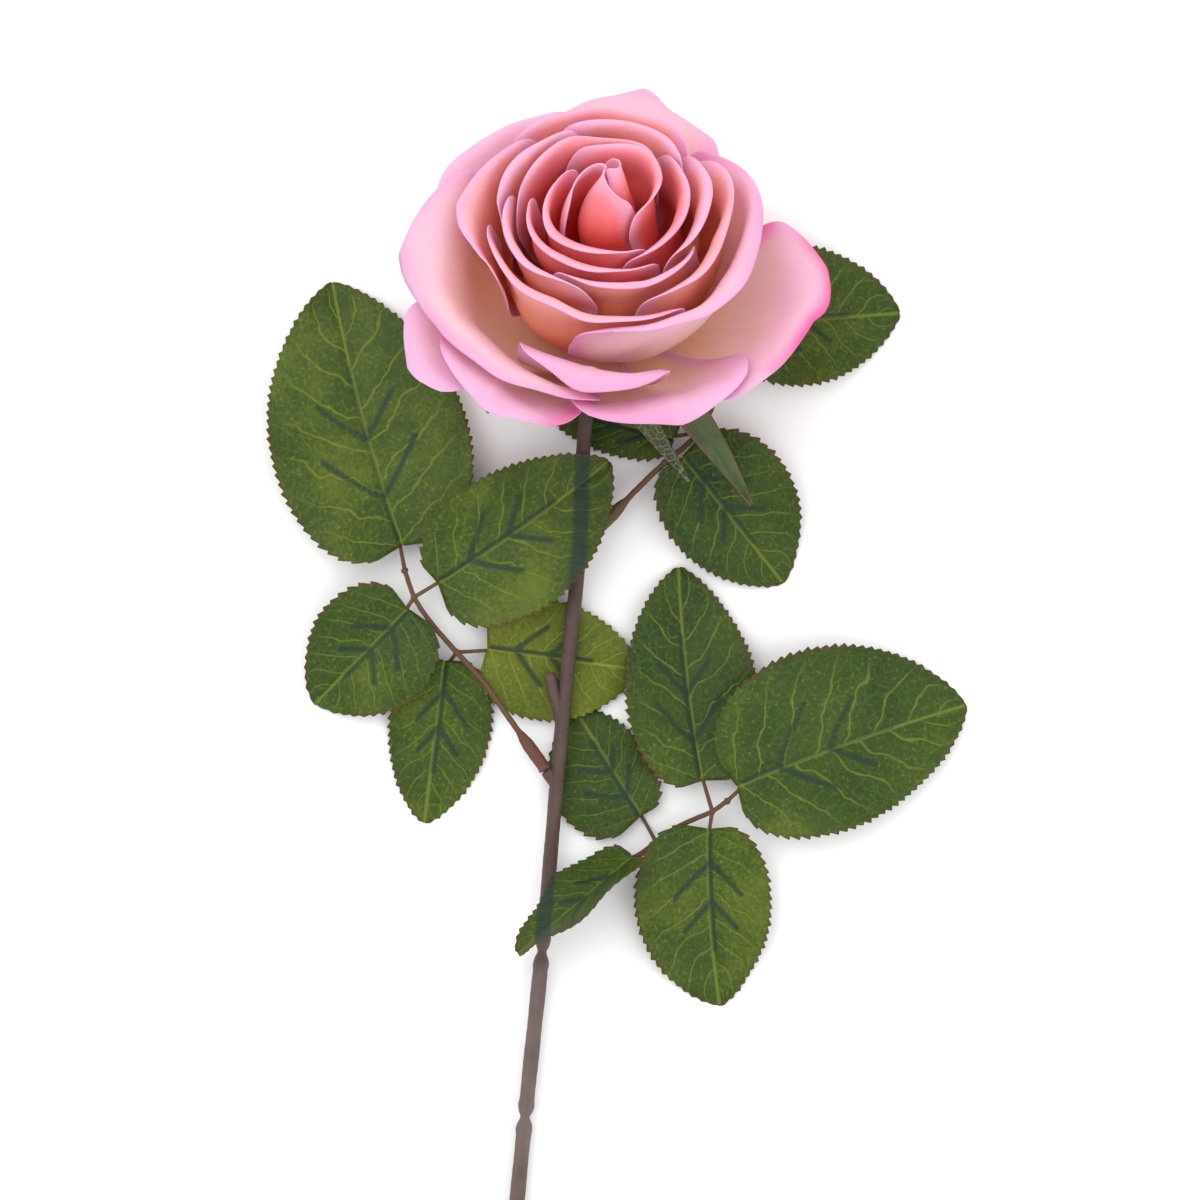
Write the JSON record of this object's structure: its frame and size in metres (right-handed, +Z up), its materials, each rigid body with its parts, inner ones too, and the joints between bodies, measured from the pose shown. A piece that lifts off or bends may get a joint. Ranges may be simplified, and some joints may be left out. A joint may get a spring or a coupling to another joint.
{
  "type": "artificial cut rose",
  "caption": "Artificial cut rose lying down: an open fabric flower on a long, thin moulded stem, with sprays of serrated fabric leaves.",
  "frame": {"origin": "bottom centre of the bounding box, on the surface the rose lies on", "axes": "+Y along the stem from the cut end to the head, +Z up from the surface, +X to the right looking towards the head"},
  "size_m": [0.1896, 0.406, 0.0717],
  "materials": {
    "petal_inner": "matt woven petal cloth, coral at the foot to pink at the rim",
    "petal_middle": "matt woven petal cloth, peach at the foot to lilac pink at the rim",
    "petal_outer": "matt woven petal cloth, cream at the foot to lilac pink with hot pink edges",
    "leaf": "printed leaf cloth with a slight sheen, dark green with lighter veins and reddish edges",
    "leaf_young": "printed leaf cloth with a slight sheen, yellow green",
    "leaf_spray": "moulded plastic, red brown to green",
    "sepal": "shiny green with red brown edges",
    "stem": "moulded plastic, grey brown to red brown"
  },
  "bodies": {
    "root": {"leaf_left_end": "leaf", "leaf_left_inner": "leaf_young", "leaf_left_lower": "leaf", "leaf_left_outer": "leaf", "leaf_left_upper": "leaf", "leaf_right_end": "leaf", "leaf_right_inner": "leaf", "leaf_right_lower": "leaf", "leaf_right_stem": "leaf", "leaf_right_upper": "leaf", "leaf_spray_left": "leaf_spray", "leaf_spray_right": "leaf_spray", "leaf_spray_upper": "leaf_spray", "leaf_upper_far": "leaf", "leaf_upper_near": "leaf", "leaf_upper_under": "leaf", "petal_bud_1": "petal_inner", "petal_bud_2": "petal_inner", "petal_bud_3": "petal_inner", "petal_heart_1": "petal_inner", "petal_heart_2": "petal_inner", "petal_inner_1": "petal_inner", "petal_inner_2": "petal_inner", "petal_inner_3": "petal_inner", "petal_middle_1": "petal_middle", "petal_middle_2": "petal_middle", "petal_middle_3": "petal_middle", "petal_middle_4": "petal_middle", "petal_middle_5": "petal_middle", "petal_outer_1": "petal_outer", "petal_outer_2": "petal_outer", "petal_outer_3": "petal_outer", "petal_outer_4": "petal_outer", "petal_outer_5": "petal_outer", "petal_skirt_1": "petal_outer", "petal_skirt_2": "petal_outer", "petal_skirt_3": "petal_outer", "petal_skirt_4": "petal_outer", "petal_wide_1": "petal_middle", "petal_wide_2": "petal_middle", "petal_wide_3": "petal_middle", "petal_wide_4": "petal_middle", "receptacle": "sepal", "sepal_1": "sepal", "sepal_2": "sepal", "sepal_3": "sepal", "sepal_4": "sepal", "sepal_5": "sepal", "stem": "stem"}
  },
  "joints": []
}
